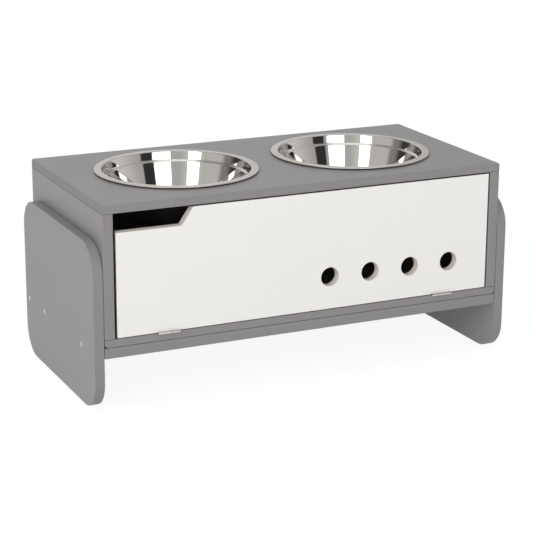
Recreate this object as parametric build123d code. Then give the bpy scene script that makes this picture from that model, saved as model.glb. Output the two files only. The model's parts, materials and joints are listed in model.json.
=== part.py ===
from build123d import *
import os

# Elevated dog feeder with a storage box: a board box with two lift-out bowls in its top and a
# flip-down door in its front, screwed to a base board that hangs between two leg panels.
# Millimetres, +Z up. The front faces -Y. The origin is on the floor, in the middle of the stand.

# Overall sizes
STAND_WIDTH = 600.0          # over the outer faces of the two leg panels
DEPTH = 280.0                # box, base board and leg panels share one depth
TABLE_HEIGHT = 271.0         # floor to the top surface that the bowl rims rest on
LEG_HEIGHT = 220.0           # floor to the top edge of a leg panel
FOOT_ROOM = 71.0             # floor to the underside of the base board

# Boards
TOP_THICK = 12.0
SIDE_THICK = 14.0
BOTTOM_THICK = 11.0
BACK_THICK = 12.0
BASE_THICK = 14.0
LEG_THICK = 14.0
DOOR_THICK = 12.0
LEG_CORNER = 40.0            # round corners of a leg panel
EDGE_ROUND = 0.8             # painted edges of every board
BOX_END_ROUND = 3.0          # outer end edges of the top and bottom boards

# Door, its finger notch and its row of round holes
DOOR_GAP_SIDE = 2.0
DOOR_GAP_TOP = 3.0
DOOR_GAP_BOTTOM = 1.0
NOTCH_LENGTH = 90.0
NOTCH_DEPTH = 22.0
NOTCH_SLANT = 15.0           # run of the slanted end
HOLE_RADIUS = 13.0
HOLE_PITCH = 60.0            # hole to hole, and from the last hole to the door's right end
HOLE_COUNT = 4
HOLE_HEIGHT = 44.0           # hole centres above the door's lower edge
CUT_OVER = 2.0               # how far the notch's cutting shape runs past the door

# Bowls: one drawn sheet each, with a turned-down rim and a small stacking step
RIM_RADIUS = 110.0
RIM_WIDTH = 10.5
RIM_RISE = 3.2               # top of the rim above the board at the rim's inner edge
RIM_FALL = 0.4               # slope of the rim towards its outer edge
BOWL_DEPTH = 62.0            # underside of the bowl below the board's top surface
BOWL_SHEET = 0.8
BOWL_STEP_DEPTH = 8.0        # upper edge of the stacking step below the board's top surface
BOWL_STEP = 2.7              # the step's fall, and about its width
BOWL_UPPER_TAPER = 2.7       # how much the upper wall closes in from the rim to the step
BOWL_LOWER_TAPER = 16.4      # how much the lower wall closes in from the step to the base
BOWL_CORNER = 18.0           # inner radius between wall and base
SMALL_BEND = 1.5             # inner radius of the sheet's small bends
BOWL_PLAY = 1.5              # between bowl wall and cut-out
MIDDLE_SHARE = 0.3           # part of the top's spare width that lies between the two rims

# Butt hinges in the gap below the door
HINGE_LENGTH = 30.0
HINGE_INSET = 70.0           # door end to the middle of a hinge
KNUCKLE_RADIUS = 2.0
KNUCKLE_GAP = 0.3            # between neighbouring knuckles, along the pin
KNUCKLE_CLEARANCE = 0.2      # between a knuckle and the boards' front faces
DOOR_KNUCKLE = 9.7           # length of the middle knuckle, which belongs to the door's leaf
PIN_RADIUS = 0.9
PIN_FIT = 0.05               # radial running clearance of the pin
LEAF_THICK = 1.0
LEAF_DEPTH = 10.0            # how far a leaf reaches in from the front face
LEAF_SPACE = 0.5             # between the two closed leaves
LEAF_SCREW_PITCH = 18.0
MORTISE_PLAY = 0.2           # round a leaf that is let into its board

# Magnetic catch under the top, and its strike plate on the door
CATCH_LENGTH = 46.0
CATCH_BODY = 30.0            # length of the catch's thick middle
CATCH_HEIGHT = 12.0
CATCH_DEPTH = 14.0
CATCH_EAR = 2.5              # thickness of the screw ears
CATCH_WALL = 2.0
MAGNET_THICK = 5.0
POLE_THICK = 1.2
POLE_PROUD = 0.5             # the pole plates stand this much in front of the catch body
CATCH_PLAY = 0.1             # round the magnet and the pole plates
STRIKE_LENGTH = 38.0
STRIKE_HEIGHT = 10.0
STRIKE_THICK = 1.0
STRIKE_DROP = 2.0            # top of the strike plate below the door's upper edge
CATCH_GAP = 0.3              # air between pole plates and strike plate

# Wood screws: (shank radius, head radius, head height, length)
LEG_SCREW = (2.0, 3.0, 2.0, 40.0)
SIDE_SCREW = (2.0, 3.6, 2.4, 25.0)
BOTTOM_SCREW = (2.0, 3.6, 2.4, 40.0)
BASE_SCREW = (2.0, 3.6, 2.4, 22.0)
LEAF_SCREW = (1.2, 2.2, 1.0, 8.5)
CATCH_SCREW = (1.4, 2.6, 1.4, 10.0)
SCREW_PLAY = 0.1
RECESS_WIDTH = 0.25          # arm of the cross recess, as a share of the head radius
RECESS_REACH = 1.2           # length of the cross recess, as a share of the head radius
RECESS_DEPTH = 0.6           # depth of the cross recess, as a share of the head height

# Where the screws, dowels and cam fittings sit
LEG_SCREW_FROM_FRONT = (50.0,)
LEG_SCREW_FROM_BACK = (80.0, 15.0)
SCREW_ROW_INSET = 50.0       # front and back screw rows, from the faces of the box
SIDE_SCREW_INSET = 60.0      # screws from the box into a leg panel, from front and back
SIDE_SCREW_LOW = 45.0        # lower ones above the bottom board's underside
SIDE_SCREW_HIGH = 30.0       # upper ones below the leg panel's top edge
BASE_SCREW_INSET = 86.0      # outer base board screws from the box's ends
BACK_SCREW_INSET = 150.0     # bottom board screws into the back, from the box's ends
DOWEL_RADIUS = 3.0
DOWEL_LENGTH = 28.0
DOWEL_IN_FACE = 8.0          # part of a dowel that sits in the face of a board
DOWEL_PLAY = 0.1
TOP_DOWEL_INSET = 80.0       # top dowels from front and back
BACK_DOWEL_INSET = 44.0      # back board dowels from its lower and upper edges
CAM_INSET = 40.0             # cam fittings from front and back
CAM_RADIUS = 7.0
CAM_DEPTH = 10.0
CAM_DROP = 24.0              # cam centre below the side board's upper end
CAM_PLAY = 0.1
CAM_SLOT_LENGTH = 8.4        # screwdriver slot in a cam's face
CAM_SLOT_WIDTH = 1.2
CAM_SLOT_DEPTH = 1.5
CAM_BOLT_RADIUS = 2.2
CAM_BOLT_HEAD = 3.2
CAM_BOLT_HEAD_LENGTH = 3.0
CAM_BOLT_THREAD = 2.8
CAM_BOLT_IN_TOP = 9.0
CAM_BORE = 4.0

# Places worked out from the sizes above
BOX_HALF = STAND_WIDTH / 2 - LEG_THICK
INNER_HALF = BOX_HALF - SIDE_THICK
FRONT = -DEPTH / 2
BACK = DEPTH / 2
TOP_UNDER = TABLE_HEIGHT - TOP_THICK
BASE_TOP = FOOT_ROOM + BASE_THICK
BOTTOM_TOP = BASE_TOP + BOTTOM_THICK
SIDE_MIDDLE = INNER_HALF + SIDE_THICK / 2
BACK_MIDDLE = BACK - BACK_THICK / 2
DOOR_HALF = INNER_HALF - DOOR_GAP_SIDE
DOOR_LOW = BOTTOM_TOP + DOOR_GAP_BOTTOM
DOOR_HIGH = TOP_UNDER - DOOR_GAP_TOP
DOOR_INNER = FRONT + DOOR_THICK
SPARE_WIDTH = 2 * BOX_HALF - 4 * RIM_RADIUS
BOWL_X = RIM_RADIUS + SPARE_WIDTH * MIDDLE_SHARE / 2
BOWL_MOUTH = RIM_RADIUS - RIM_WIDTH
WALL_AT_BOARD = BOWL_MOUTH - BOWL_UPPER_TAPER * RIM_RISE / (RIM_RISE + BOWL_STEP_DEPTH)
CUTOUT_RADIUS = WALL_AT_BOARD + BOWL_SHEET + BOWL_PLAY
HINGE_X = DOOR_HALF - HINGE_INSET
PIN_Y = FRONT - KNUCKLE_RADIUS - KNUCKLE_CLEARANCE
PIN_Z = BOTTOM_TOP + DOOR_GAP_BOTTOM / 2
LEAF_LOW_TOP = PIN_Z - LEAF_SPACE / 2
LEAF_HIGH_UNDER = PIN_Z + LEAF_SPACE / 2
LEAF_SCREW_Y = FRONT + LEAF_DEPTH / 2
STRIKE_TOP = DOOR_HIGH - STRIKE_DROP
CATCH_FRONT = DOOR_INNER + STRIKE_THICK + CATCH_GAP + POLE_PROUD
CATCH_SCREW_X = (CATCH_LENGTH + CATCH_BODY) / 4
CATCH_SCREW_Y = CATCH_FRONT + CATCH_DEPTH / 2
BOTH = (-1, 1)


def block(low, high):
    """A box between two corners."""
    size = [b - a for a, b in zip(low, high)]
    middle = [(a + b) / 2 for a, b in zip(low, high)]
    return Pos(*middle) * Box(*size)


def board(low, high):
    """A board with all its edges broken by the paint radius."""
    blank = block(low, high)
    return fillet(blank.edges(), EDGE_ROUND)


def rod(start, direction, radius, length):
    """A round bar that begins at start and runs along direction."""
    align = (Align.CENTER, Align.CENTER, Align.MIN)
    return Plane(origin=start, z_dir=direction) * Cylinder(radius, length, align=align)


def screw_blank(kind, play):
    """A countersunk screw's outer shape, head up at the origin, grown by play."""
    shank, head, head_height, length = kind
    stem = rod((0, 0, 0), (0, 0, -1), shank + play, length + play)
    cone = Cone(shank + play, head + play, head_height + play)
    return stem + Pos(0, 0, -(head_height + play) / 2) * cone


def screw(kind, head_at, outward):
    """A countersunk wood screw with a cross recess, its head flush at head_at."""
    _, head, head_height, _ = kind
    body = screw_blank(kind, 0)
    arm = head * RECESS_WIDTH
    reach = head * RECESS_REACH
    sunk = head_height * RECESS_DEPTH
    for size in ((reach, arm), (arm, reach)):
        body -= Pos(0, 0, -sunk / 2) * Box(size[0], size[1], sunk)
    return Plane(origin=head_at, z_dir=outward) * body


def screw_hole(kind, head_at, outward):
    """The countersunk hole that such a screw sits in."""
    return Plane(origin=head_at, z_dir=outward) * screw_blank(kind, SCREW_PLAY)


def dowel(start, direction, play=0.0):
    """A wooden dowel, or with play the hole for it."""
    begin = Vector(*start) - Vector(*direction) * play
    return rod(begin, direction, DOWEL_RADIUS + play, DOWEL_LENGTH + 2 * play)


def cut(body, tools):
    """Takes each tool away from a body."""
    for tool in tools:
        body -= tool
    return body


# Places of the fasteners, each as (point, direction)
def leg_screw_places():
    ys = [FRONT + d for d in LEG_SCREW_FROM_FRONT] + [BACK - d for d in LEG_SCREW_FROM_BACK]
    z = FOOT_ROOM + BASE_THICK / 2
    return [((s * STAND_WIDTH / 2, y, z), (s, 0, 0)) for s in BOTH for y in ys]


def side_screw_places():
    zs = (BASE_TOP + SIDE_SCREW_LOW, LEG_HEIGHT - SIDE_SCREW_HIGH)
    ys = (FRONT + SIDE_SCREW_INSET, BACK - SIDE_SCREW_INSET)
    return [((s * INNER_HALF, y, z), (-s, 0, 0)) for s in BOTH for y in ys for z in zs]


def bottom_screw_places():
    rows = (FRONT + SCREW_ROW_INSET, BACK - SCREW_ROW_INSET)
    into_sides = [(s * SIDE_MIDDLE, y) for s in BOTH for y in rows]
    into_back = [(s * (BOX_HALF - BACK_SCREW_INSET), BACK_MIDDLE) for s in BOTH]
    return [((x, y, BASE_TOP), (0, 0, -1)) for x, y in into_sides + into_back]


def base_screw_places():
    xs = (BASE_SCREW_INSET - BOX_HALF, 0, BOX_HALF - BASE_SCREW_INSET)
    ys = (FRONT + SCREW_ROW_INSET, BACK - SCREW_ROW_INSET)
    return [((x, y, FOOT_ROOM), (0, 0, -1)) for x in xs for y in ys]


def top_dowel_places():
    z = TOP_UNDER + DOWEL_IN_FACE
    ys = (FRONT + TOP_DOWEL_INSET, BACK - TOP_DOWEL_INSET)
    on_sides = [(s * SIDE_MIDDLE, y) for s in BOTH for y in ys]
    on_back = [(s * (BOX_HALF - BACK_SCREW_INSET), BACK_MIDDLE) for s in BOTH]
    return [((x, y, z), (0, 0, -1)) for x, y in on_sides + on_back]


def back_dowel_places():
    zs = (BOTTOM_TOP + BACK_DOWEL_INSET, TOP_UNDER - BACK_DOWEL_INSET)
    x = INNER_HALF + DOWEL_IN_FACE
    return [((s * x, BACK_MIDDLE, z), (-s, 0, 0)) for s in BOTH for z in zs]


def cam_places():
    ys = (FRONT + CAM_INSET, BACK - CAM_INSET)
    return [(s, y, TOP_UNDER - CAM_DROP) for s in BOTH for y in ys]


def leaf_screw_xs(side):
    return [side * HINGE_X + e * LEAF_SCREW_PITCH / 2 for e in BOTH]


def low_leaf_screw_places(side):
    return [((x, LEAF_SCREW_Y, LEAF_LOW_TOP), (0, 0, 1)) for x in leaf_screw_xs(side)]


def high_leaf_screw_places(side):
    return [((x, LEAF_SCREW_Y, LEAF_HIGH_UNDER), (0, 0, -1)) for x in leaf_screw_xs(side)]


def catch_screw_places():
    z = TOP_UNDER - CATCH_EAR
    return [((s * CATCH_SCREW_X, CATCH_SCREW_Y, z), (0, 0, -1)) for s in BOTH]


def strike_screw_place():
    z = STRIKE_TOP - STRIKE_HEIGHT / 2
    return (0, DOOR_INNER + STRIKE_THICK, z), (0, 1, 0)


def screws(kind, places):
    return [screw(kind, point, outward) for point, outward in places]


def holes(kind, places):
    return [screw_hole(kind, point, outward) for point, outward in places]


def dowel_holes(places):
    return [dowel(point, direction, DOWEL_PLAY) for point, direction in places]


# Cam fittings: a bolt in the top hangs in a bore in the side and is gripped by a round cam
def cam_bolt(side, y, z):
    x = side * SIDE_MIDDLE
    thread = rod((x, y, TOP_UNDER), (0, 0, 1), CAM_BOLT_THREAD, CAM_BOLT_IN_TOP)
    stem = rod((x, y, z), (0, 0, 1), CAM_BOLT_RADIUS, CAM_DROP)
    head = rod((x, y, z - CAM_BOLT_HEAD_LENGTH / 2), (0, 0, 1), CAM_BOLT_HEAD, CAM_BOLT_HEAD_LENGTH)
    return thread + stem + head


def cam_lock(side, y, z):
    face = side * INNER_HALF
    disc = rod((face, y, z), (side, 0, 0), CAM_RADIUS, CAM_DEPTH)
    throat = CAM_BOLT_HEAD + CAM_PLAY
    mouth = rod((side * SIDE_MIDDLE, y, z - throat), (0, 0, 1), throat, CAM_DROP)
    slot = Pos(face, y, z) * Box(2 * CAM_SLOT_DEPTH, CAM_SLOT_LENGTH, CAM_SLOT_WIDTH)
    return cut(disc, [mouth, slot])


def cam_bores(side, y, z):
    """The two bores of a cam fitting in a side board."""
    pocket = rod((side * INNER_HALF, y, z), (side, 0, 0), CAM_RADIUS + CAM_PLAY, CAM_DEPTH + CAM_PLAY)
    shaft = rod((side * SIDE_MIDDLE, y, z - CAM_BORE), (0, 0, 1), CAM_BORE, CAM_DROP + CAM_BORE)
    return [pocket, shaft]


# Boards of the box
def end_rounded(blank, z):
    """Rounds a board's two outer end edges at height z by the larger radius, the rest by paint."""
    ends = [e for e in blank.edges().filter_by(Axis.Y) if abs(e.center().Z - z) < EDGE_ROUND]
    rounded = fillet(ends, BOX_END_ROUND)
    fronts = rounded.edges().group_by(Axis.Y)
    return fillet(fronts[0] + fronts[-1], EDGE_ROUND)


def top_panel():
    body = end_rounded(block((-BOX_HALF, FRONT, TOP_UNDER), (BOX_HALF, BACK, TABLE_HEIGHT)), TABLE_HEIGHT)
    body = cut(body, [rod((s * BOWL_X, 0, TOP_UNDER), (0, 0, 1), CUTOUT_RADIUS, TOP_THICK) for s in BOTH])
    body = cut(body, dowel_holes(top_dowel_places()))
    body = cut(body, holes(CATCH_SCREW, catch_screw_places()))
    thread = CAM_BOLT_THREAD + CAM_PLAY
    for side, y, _ in cam_places():
        body -= rod((side * SIDE_MIDDLE, y, TOP_UNDER), (0, 0, 1), thread, CAM_BOLT_IN_TOP + CAM_PLAY)
    return body


def side_panel(side):
    inner, outer = sorted((side * INNER_HALF, side * BOX_HALF))
    body = board((inner, FRONT, BOTTOM_TOP), (outer, BACK, TOP_UNDER))
    for cam_side, y, z in cam_places():
        if cam_side == side:
            body = cut(body, cam_bores(side, y, z))
    body = cut(body, dowel_holes(top_dowel_places() + back_dowel_places()))
    return cut(body, holes(SIDE_SCREW, side_screw_places()) + holes(BOTTOM_SCREW, bottom_screw_places()))


def leaf_pocket(side, low, high):
    """The mortise for a hinge leaf, open at the front face."""
    half = HINGE_LENGTH / 2 + MORTISE_PLAY
    x = side * HINGE_X
    rear = FRONT + LEAF_DEPTH + MORTISE_PLAY
    return block((x - half, FRONT - MORTISE_PLAY, low), (x + half, rear, high))


def bottom_panel():
    body = end_rounded(block((-BOX_HALF, FRONT, BASE_TOP), (BOX_HALF, BACK, BOTTOM_TOP)), BASE_TOP)
    for side in BOTH:
        body -= leaf_pocket(side, LEAF_LOW_TOP - LEAF_THICK, BOTTOM_TOP)
        body = cut(body, holes(LEAF_SCREW, low_leaf_screw_places(side)))
    return cut(body, holes(BOTTOM_SCREW, bottom_screw_places()) + holes(BASE_SCREW, base_screw_places()))


def back_panel():
    body = board((-INNER_HALF, BACK - BACK_THICK, BOTTOM_TOP), (INNER_HALF, BACK, TOP_UNDER))
    body = cut(body, dowel_holes(top_dowel_places() + back_dowel_places()))
    return cut(body, holes(BOTTOM_SCREW, bottom_screw_places()))


# Stand
def base_board():
    body = board((-BOX_HALF, FRONT, FOOT_ROOM), (BOX_HALF, BACK, BASE_TOP))
    return cut(body, holes(BASE_SCREW, base_screw_places()) + holes(LEG_SCREW, leg_screw_places()))


def leg_panel(side):
    inner = min(side * BOX_HALF, side * STAND_WIDTH / 2)
    outline = Pos(0, LEG_HEIGHT / 2) * RectangleRounded(DEPTH, LEG_HEIGHT, LEG_CORNER)
    blank = extrude(Plane.YZ.offset(inner) * outline, LEG_THICK)
    body = fillet(blank.faces().filter_by(Axis.X).edges(), EDGE_ROUND)
    return cut(body, holes(LEG_SCREW, leg_screw_places()) + holes(SIDE_SCREW, side_screw_places()))


# Door
def finger_notch():
    """The shape cut out of the door's upper left corner, grown past the door's edges."""
    ledge = DOOR_HIGH - NOTCH_DEPTH
    ledge_end = NOTCH_LENGTH - DOOR_HALF
    slant_end = ledge_end + NOTCH_SLANT * (NOTCH_DEPTH + CUT_OVER) / NOTCH_DEPTH
    left = -DOOR_HALF - CUT_OVER
    above = DOOR_HIGH + CUT_OVER
    outline = Polyline((left, ledge), (ledge_end, ledge), (slant_end, above), (left, above), close=True)
    return extrude(Plane.XZ.offset(-DOOR_INNER) * make_face(outline), DOOR_THICK)


def door_panel():
    body = board((-DOOR_HALF, FRONT, DOOR_LOW), (DOOR_HALF, DOOR_INNER, DOOR_HIGH)) - finger_notch()
    z = DOOR_LOW + HOLE_HEIGHT
    for i in range(1, HOLE_COUNT + 1):
        body -= rod((DOOR_HALF - i * HOLE_PITCH, FRONT, z), (0, 1, 0), HOLE_RADIUS, DOOR_THICK)
    for side in BOTH:
        body -= leaf_pocket(side, DOOR_LOW, LEAF_HIGH_UNDER + LEAF_THICK)
        body = cut(body, holes(LEAF_SCREW, high_leaf_screw_places(side)))
    return cut(body, holes(CATCH_SCREW, [strike_screw_place()]))


# Hinges
def pin_rod(side, x_from, x_to, radius):
    """A round bar on the pin's axis, between two places counted from a hinge's middle."""
    return rod((side * HINGE_X + x_from, PIN_Y, PIN_Z), (1, 0, 0), radius, x_to - x_from)


def hinge_leaf(side, spans, low, screw_places):
    """A leaf that lies between low and low + LEAF_THICK, with a rolled knuckle on each span."""
    middle = side * HINGE_X
    half = HINGE_LENGTH / 2
    high = low + LEAF_THICK
    plate_front = FRONT + KNUCKLE_CLEARANCE
    body = block((middle - half, plate_front, low), (middle + half, FRONT + LEAF_DEPTH, high))
    for x_from, x_to in spans:
        body += block((middle + x_from, PIN_Y, low), (middle + x_to, plate_front, high))
        body += pin_rod(side, x_from, x_to, KNUCKLE_RADIUS)
    bore = pin_rod(side, -half, half, PIN_RADIUS + PIN_FIT)
    return cut(body, [bore] + holes(LEAF_SCREW, screw_places))


def low_leaf(side):
    half = HINGE_LENGTH / 2
    inner = DOOR_KNUCKLE / 2 + KNUCKLE_GAP
    spans = [(-half, -inner), (inner, half)]
    return hinge_leaf(side, spans, LEAF_LOW_TOP - LEAF_THICK, low_leaf_screw_places(side))


def high_leaf(side):
    spans = [(-DOOR_KNUCKLE / 2, DOOR_KNUCKLE / 2)]
    return hinge_leaf(side, spans, LEAF_HIGH_UNDER, high_leaf_screw_places(side))


def hinge_pin(side):
    return pin_rod(side, -HINGE_LENGTH / 2, HINGE_LENGTH / 2, PIN_RADIUS)


# Magnetic catch
def pole_spans():
    """The two pole plates' Z spans, below and above the magnet."""
    middle = TOP_UNDER - CATCH_HEIGHT / 2
    low = middle - MAGNET_THICK / 2
    high = middle + MAGNET_THICK / 2
    return [(low - POLE_THICK, low), (high, high + POLE_THICK)]


def catch_core(play):
    """Half length and depth of the magnet and the pole plates."""
    return CATCH_BODY / 2 - CATCH_WALL + play, CATCH_DEPTH - CATCH_WALL + play


def catch_housing():
    ear_low = (-CATCH_LENGTH / 2, CATCH_FRONT, TOP_UNDER - CATCH_EAR)
    ear = block(ear_low, (CATCH_LENGTH / 2, CATCH_FRONT + CATCH_DEPTH, TOP_UNDER))
    low = (-CATCH_BODY / 2, CATCH_FRONT, TOP_UNDER - CATCH_HEIGHT)
    body = ear + block(low, (CATCH_BODY / 2, CATCH_FRONT + CATCH_DEPTH, TOP_UNDER))
    half, depth = catch_core(CATCH_PLAY)
    (low_z, _), (_, high_z) = pole_spans()
    pocket_high = (half, CATCH_FRONT + depth, high_z + CATCH_PLAY)
    body -= block((-half, CATCH_FRONT, low_z - CATCH_PLAY), pocket_high)
    return cut(body, holes(CATCH_SCREW, catch_screw_places()))


def catch_magnet():
    half, depth = catch_core(0)
    (_, low_z), (high_z, _) = pole_spans()
    return block((-half, CATCH_FRONT, low_z), (half, CATCH_FRONT + depth, high_z))


def pole_plates():
    half, depth = catch_core(0)
    front = CATCH_FRONT - POLE_PROUD
    return [block((-half, front, z0), (half, CATCH_FRONT + depth, z1)) for z0, z1 in pole_spans()]


def strike_plate():
    low = (-STRIKE_LENGTH / 2, DOOR_INNER, STRIKE_TOP - STRIKE_HEIGHT)
    plate = block(low, (STRIKE_LENGTH / 2, DOOR_INNER + STRIKE_THICK, STRIKE_TOP))
    plate = fillet(plate.edges().filter_by(Axis.Y), STRIKE_HEIGHT / 4)
    return cut(plate, holes(CATCH_SCREW, [strike_screw_place()]))


# Bowls
def bowl(side):
    """One sheet drawn round the bowl's axis: base, wall, step, upper wall, rim and lip."""
    base = BOWL_SHEET - BOWL_DEPTH
    step_out = BOWL_MOUTH - BOWL_UPPER_TAPER
    step_in = step_out - BOWL_STEP
    corners = [
        (0, base),
        (step_in - BOWL_LOWER_TAPER, base),
        (step_in, -BOWL_STEP_DEPTH - BOWL_STEP),
        (step_out, -BOWL_STEP_DEPTH),
        (BOWL_MOUTH, RIM_RISE),
        (RIM_RADIUS, RIM_RISE - RIM_FALL),
        (RIM_RADIUS, 0),
    ]
    bends = [BOWL_CORNER, SMALL_BEND, SMALL_BEND, SMALL_BEND, SMALL_BEND]
    skin = FilletPolyline(*corners, radius=bends)
    section = make_face(offset(skin, BOWL_SHEET, side=Side.RIGHT))
    return Pos(side * BOWL_X, 0, TABLE_HEIGHT) * revolve(Plane.XZ * section, Axis.Z)


nodes = {
    "top_panel": top_panel(),
    "bottom_panel": bottom_panel(),
    "back_panel": back_panel(),
    "base_board": base_board(),
    "door_panel": door_panel(),
    "catch_housing": catch_housing(),
    "catch_magnet": catch_magnet(),
    "catch_pole_plates": pole_plates(),
    "catch_screws": screws(CATCH_SCREW, catch_screw_places()),
    "strike_plate": strike_plate(),
    "strike_screw": screw(CATCH_SCREW, *strike_screw_place()),
    "leg_to_base_screws": screws(LEG_SCREW, leg_screw_places()),
    "leg_to_side_screws": screws(SIDE_SCREW, side_screw_places()),
    "bottom_panel_screws": screws(BOTTOM_SCREW, bottom_screw_places()),
    "base_board_screws": screws(BASE_SCREW, base_screw_places()),
    "top_dowels": [dowel(*place) for place in top_dowel_places()],
    "back_dowels": [dowel(*place) for place in back_dowel_places()],
    "cam_bolts": [cam_bolt(*place) for place in cam_places()],
    "cam_locks": [cam_lock(*place) for place in cam_places()],
}
for side in BOTH:
    hand = "left" if side < 0 else "right"
    nodes["side_panel_" + hand] = side_panel(side)
    nodes["leg_panel_" + hand] = leg_panel(side)
    nodes["bowl_" + hand] = bowl(side)
    nodes["hinge_frame_leaf_" + hand] = low_leaf(side)
    nodes["hinge_door_leaf_" + hand] = high_leaf(side)
    nodes["hinge_pin_" + hand] = hinge_pin(side)
    nodes["hinge_frame_screws_" + hand] = screws(LEAF_SCREW, low_leaf_screw_places(side))
    nodes["hinge_door_screws_" + hand] = screws(LEAF_SCREW, high_leaf_screw_places(side))

os.makedirs("parts", exist_ok=True)
for name, shape in nodes.items():
    if isinstance(shape, list):
        shape = Compound(children=shape)
    export_step(shape, os.path.join("parts", name + ".step"))
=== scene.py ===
import json
import math

import bmesh
import bpy
from mathutils import Matrix, Vector


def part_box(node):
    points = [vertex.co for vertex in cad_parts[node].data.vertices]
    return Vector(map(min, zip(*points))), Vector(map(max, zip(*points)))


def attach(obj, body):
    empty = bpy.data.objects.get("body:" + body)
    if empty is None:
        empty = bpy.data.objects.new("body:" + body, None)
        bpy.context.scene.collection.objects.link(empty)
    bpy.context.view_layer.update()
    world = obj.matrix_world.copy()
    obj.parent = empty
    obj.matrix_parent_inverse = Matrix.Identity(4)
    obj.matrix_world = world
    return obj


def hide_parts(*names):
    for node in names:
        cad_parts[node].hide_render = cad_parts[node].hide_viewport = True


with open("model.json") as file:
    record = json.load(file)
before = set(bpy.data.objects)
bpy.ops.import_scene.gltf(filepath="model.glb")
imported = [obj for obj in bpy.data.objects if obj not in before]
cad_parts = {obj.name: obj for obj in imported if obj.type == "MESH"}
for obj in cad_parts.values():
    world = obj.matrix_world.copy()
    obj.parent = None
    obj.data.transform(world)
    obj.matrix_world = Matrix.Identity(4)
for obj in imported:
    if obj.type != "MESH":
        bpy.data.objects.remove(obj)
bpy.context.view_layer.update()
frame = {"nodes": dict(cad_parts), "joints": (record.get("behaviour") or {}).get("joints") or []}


# Leg panels. Two boards of 14 mm MDF stand on edge and carry everything else. Their corners are
# sawn to a wide radius, the edges are broken with sandpaper, and both are sprayed satin grey.
# Three countersunk holes in each take the screws that hold the base board.
MM = 0.001
HANDS = {"left": -1, "right": 1}
LEG_CORNER = 40 * MM
LEG_CORNER_STEPS = 20
EDGE_ROUND = 0.6 * MM
EDGE_STEPS = 3
SMOOTH_ANGLE = math.radians(50)
FLAT_FACE_WEIGHT = 100           # lets the large flat faces lead the shading of their corners
ALIGNED = 0.99                   # cosine past which two directions count as one
GREY_LACQUER = {"even": "#8f8c8d", "cloud": "#939091", "edge": "#868384"}
LACQUER_CLOUD = 70 * MM          # drift of the tone across a board
LACQUER_PEEL = 3 * MM            # real orange peel is nearer 1 mm, drawn wider so that it shows
LACQUER_PEEL_HEIGHT = 0.02 * MM
LACQUER_IOR = 1.5
LACQUER_ROUGHNESS = 0.45         # of the film on a face
EDGE_ROUGHER = 0.1               # how much rougher it dries on an edge
EDGE_COVER = 0.7                 # least share of the edge colour that an edge shows
LEG_SCREW_HOLE = {"shank": 2.1 * MM, "head": 3.1 * MM, "sink": 2.1 * MM, "depth": 30 * MM}
HOLE_STEPS = 32
LEG_SCREW_FROM_FRONT = [50 * MM, 200 * MM, 265 * MM]
LEG_SCREW_HEIGHT = 78 * MM
SHADOW_GAP = 0.2 * MM            # two boards never lie quite flat on each other
LEG_GAP = 3 * SHADOW_GAP         # between a leg and the ends of the boards that it carries


def new_piece(name, add, **place):
    """Adds a primitive with nothing else selected, and names it."""
    bpy.ops.object.select_all(action="DESELECT")
    add(**place)
    piece = bpy.context.object
    piece.name = name
    piece.data.name = name
    bpy.ops.object.transform_apply(location=True, rotation=True, scale=True)
    return piece


def new_block(name, low, high):
    """A box between two corners."""
    middle = (low + high) / 2
    return new_piece(name, bpy.ops.mesh.primitive_cube_add, size=1, location=middle, scale=high - low)


def take(piece):
    """Makes a piece the only selected object and the active one."""
    bpy.ops.object.select_all(action="DESELECT")
    piece.select_set(True)
    bpy.context.view_layer.objects.active = piece


def edit(piece, kind, wanted):
    """Opens a piece in edit mode with only the parts of one kind selected that wanted() accepts."""
    take(piece)
    bpy.ops.object.mode_set(mode="EDIT")
    bpy.ops.mesh.select_mode(type=kind)
    bpy.ops.mesh.select_all(action="DESELECT")
    mesh = bmesh.from_edit_mesh(piece.data)
    for part in {"VERT": mesh.verts, "EDGE": mesh.edges, "FACE": mesh.faces}[kind]:
        part.select = wanted(part)
    mesh.select_flush_mode()
    bmesh.update_edit_mesh(piece.data)


def round_edges(piece, radius, steps, wanted):
    """Rounds the chosen edges of a piece."""
    edit(piece, "EDGE", wanted)
    bpy.ops.mesh.bevel(offset=radius, segments=steps, affect="EDGES")
    bpy.ops.object.mode_set(mode="OBJECT")


def along(edge, axis):
    """Whether an edge runs along an axis, 0 to 2."""
    run = edge.verts[1].co - edge.verts[0].co
    return abs(run[axis]) > ALIGNED * run.length


def apply(piece, kind, **settings):
    """Adds a modifier with its settings and applies it."""
    take(piece)
    modifier = piece.modifiers.new(kind.title(), kind)
    for key, value in settings.items():
        setattr(modifier, key, value)
    bpy.ops.object.modifier_apply(modifier=modifier.name)


def cut_away(piece, tool):
    """Cuts a tool's shape out of a piece and removes the tool."""
    apply(piece, "BOOLEAN", operation="DIFFERENCE", solver="EXACT", object=tool)
    bpy.data.objects.remove(tool)


def screw_hole(piece, at, outward, hole):
    """A countersunk hole that runs in from a face which looks along outward."""
    turn = outward.to_track_quat("Z", "Y").to_euler()
    length = hole["depth"] - hole["sink"]
    bit = new_piece("bit", bpy.ops.mesh.primitive_cylinder_add, vertices=HOLE_STEPS, radius=hole["shank"],
                    depth=length, location=at - outward * (hole["sink"] + length / 2), rotation=turn)
    # The end goes as far out of the board as it was in it, and is widened so that the cone which it
    # draws is as wide as the screw's head where it passes the board's face.
    edit(bit, "FACE", lambda face: face.normal.dot(outward) > ALIGNED)
    bpy.ops.mesh.extrude_region_move(TRANSFORM_OT_translate={"value": 2 * hole["sink"] * outward})
    flare = 2 * hole["head"] / hole["shank"] - 1
    bpy.ops.transform.resize(value=(flare, flare, flare), center_override=at + hole["sink"] * outward)
    bpy.ops.object.mode_set(mode="OBJECT")
    cut_away(piece, bit)


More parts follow.
